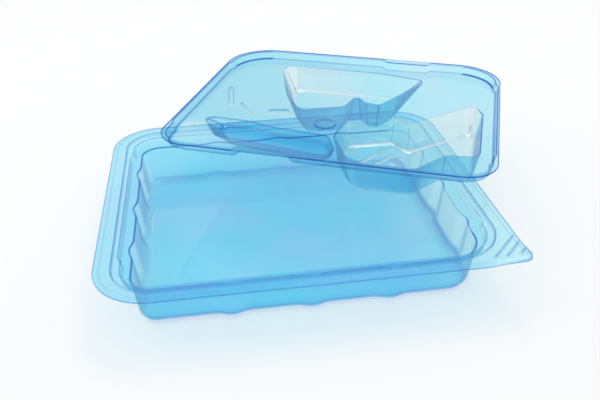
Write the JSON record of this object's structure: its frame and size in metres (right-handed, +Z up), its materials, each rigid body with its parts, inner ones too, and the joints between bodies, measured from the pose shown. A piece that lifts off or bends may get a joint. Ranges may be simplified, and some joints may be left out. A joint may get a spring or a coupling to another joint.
{
  "type": "two-piece thermoformed tray pack",
  "caption": "Clear blue thermoformed pack: a fluted base tray with a wide sealing flange and peel tab, and a pocketed inner tray lying askew on top of it.",
  "frame": {"origin": "centre of the base tray's foot, on the surface it stands on", "axes": "+X along the long side of the base tray, +Y away from the side with the peel tab, +Z up"},
  "size_m": [0.2944, 0.289, 0.0612],
  "materials": {
    "clear_blue": "clear gloss"
  },
  "bodies": {
    "root": {"base_tray": "clear_blue", "inner_tray": "clear_blue"}
  },
  "joints": []
}
